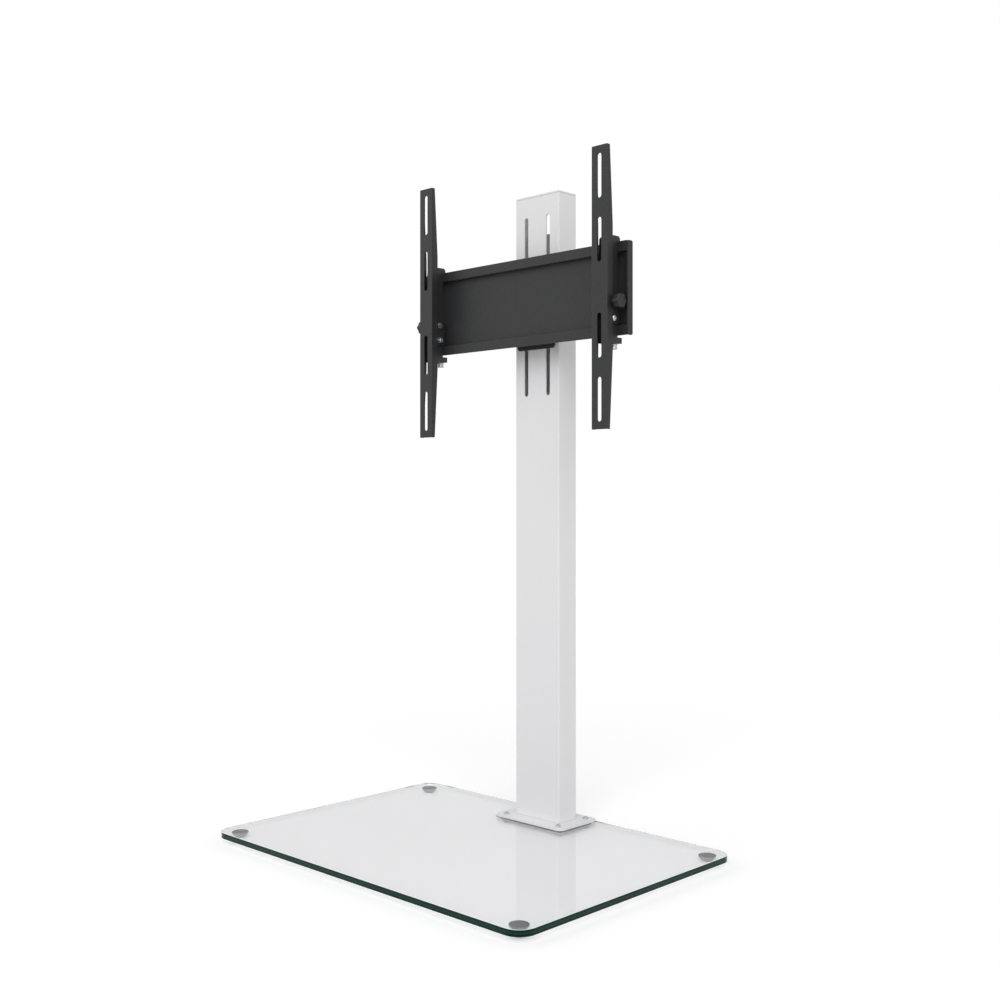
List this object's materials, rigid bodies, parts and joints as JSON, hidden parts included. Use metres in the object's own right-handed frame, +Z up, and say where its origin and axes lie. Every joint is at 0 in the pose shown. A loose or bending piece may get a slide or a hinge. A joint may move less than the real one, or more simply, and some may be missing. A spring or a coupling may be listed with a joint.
{
  "type": "television stand with mount",
  "caption": "Free-standing television stand: glass base on feet, upright column with rear cable cover, and a bracket that slides in height, swivels and tilts.",
  "frame": {"origin": "on the floor under the middle of the glass base, which is the middle of the bottom of the bounding box", "axes": "+Z up along the column, +Y to the back, where the column stands, -Y to the front, where the screen faces, +X to the viewer's right"},
  "size_m": [0.7, 0.49, 1.1262],
  "materials": {
    "glass": "clear toughened float glass, polished edges that look dark green",
    "white_coat": "fine matt white powder coat",
    "white_plastic": "matt white moulded plastic",
    "black_coat": "fine textured black powder coat",
    "black_plastic": "matt black moulded plastic",
    "gasket": "thin black rubber sheet",
    "nylon": "natural nylon",
    "zinc": "bright zinc plating",
    "foot_disc": "grey anodised disc, glued to the glass",
    "foot_cone": "grey rubber"
  },
  "bodies": {
    "stand": {"glass_base": "glass", "foot_disc_front_left": "foot_disc", "foot_disc_front_right": "foot_disc", "foot_disc_rear_left": "foot_disc", "foot_disc_rear_right": "foot_disc", "foot_cone_front_left": "foot_cone", "foot_cone_front_right": "foot_cone", "foot_cone_rear_left": "foot_cone", "foot_cone_rear_right": "foot_cone", "flange_plate": "white_coat", "flange_gasket": "gasket", "under_gasket": "nylon", "counter_plate": "white_coat", "flange_bolt_front_left": "zinc", "flange_bolt_front_right": "zinc", "flange_bolt_rear_left": "zinc", "flange_bolt_rear_right": "zinc", "flange_nut_front_left": "zinc", "flange_nut_front_right": "zinc", "flange_nut_rear_left": "zinc", "flange_nut_rear_right": "zinc", "bolt_sleeve_front_left": "nylon", "bolt_sleeve_front_right": "nylon", "bolt_sleeve_rear_left": "nylon", "bolt_sleeve_rear_right": "nylon", "column": "white_coat", "column_cap": "white_plastic"},
    "cable_cover": {"rear_cable_cover": "white_plastic"},
    "carriage": {"height_carriage": "black_coat", "clamp_plate": "zinc", "clamp_bolt_upper_left": "zinc", "clamp_bolt_upper_right": "zinc", "clamp_bolt_lower_left": "zinc", "clamp_bolt_lower_right": "zinc", "hinge_bolt": "zinc", "hinge_nut": "zinc", "thrust_washer_upper": "nylon", "thrust_washer_lower": "nylon"},
    "head": {"swivel_bracket": "black_coat", "mount_rail": "black_coat", "rail_end_left": "black_plastic", "rail_end_right": "black_plastic"},
    "arm_left": {"hook_bracket_left": "black_coat", "pivot_bolt_left": "zinc", "pivot_nut_left": "zinc"},
    "arm_right": {"hook_bracket_right": "black_coat", "pivot_bolt_right": "zinc", "pivot_nut_right": "zinc"},
    "screen_bar_left": {"tilt_bar_left": "black_coat"},
    "screen_bar_right": {"tilt_bar_right": "black_coat"},
    "tilt_clamp_left": {"tilt_knob_left": "black_plastic", "tilt_stud_left": "zinc"},
    "tilt_clamp_right": {"tilt_knob_right": "black_plastic", "tilt_stud_right": "zinc"},
    "lock_left": {"lock_screw_left": "zinc"},
    "lock_right": {"lock_screw_right": "zinc"}
  },
  "joints": [
    {"name": "height_slide", "type": "slide", "parent": "stand", "child": "carriage", "axis": [0, 0, 1], "range_m": [-0.09, 0.09]},
    {"name": "cover_pull", "type": "slide", "parent": "stand", "child": "cable_cover", "axis": [0, 1, 0], "range_m": [0, 0.08]},
    {"name": "swivel", "type": "hinge", "parent": "carriage", "child": "head", "pos_m": [0, 0.151, 0.9042], "axis": [0, 0, 1], "range_deg": [-30, 30]},
    {"name": "arm_left_slide", "type": "slide", "parent": "head", "child": "arm_left", "axis": [1, 0, 0], "range_m": [-0.013, 0.15]},
    {"name": "arm_right_slide", "type": "slide", "parent": "head", "child": "arm_right", "axis": [-1, 0, 0], "range_m": [-0.013, 0.15]},
    {"name": "tilt_left", "type": "hinge", "parent": "arm_left", "child": "screen_bar_left", "pos_m": [-0.2, 0.1135, 0.8562], "axis": [1, 0, 0], "range_deg": [-5, 12]},
    {"name": "tilt_right", "type": "hinge", "parent": "arm_right", "child": "screen_bar_right", "pos_m": [0.2, 0.1135, 0.8562], "axis": [1, 0, 0], "range_deg": [-5, 12]},
    {"name": "knob_left_turn", "type": "hinge", "parent": "arm_left", "child": "tilt_clamp_left", "pos_m": [-0.2, 0.1135, 0.8822], "axis": [-1, 0, 0], "range_deg": [0, 360]},
    {"name": "knob_right_turn", "type": "hinge", "parent": "arm_right", "child": "tilt_clamp_right", "pos_m": [0.2, 0.1135, 0.8822], "axis": [1, 0, 0], "range_deg": [0, 360]},
    {"name": "lock_left_travel", "type": "slide", "parent": "arm_left", "child": "lock_left", "axis": [0, 0, -1], "range_m": [0, 0.014]},
    {"name": "lock_right_travel", "type": "slide", "parent": "arm_right", "child": "lock_right", "axis": [0, 0, -1], "range_m": [0, 0.014]}
  ]
}
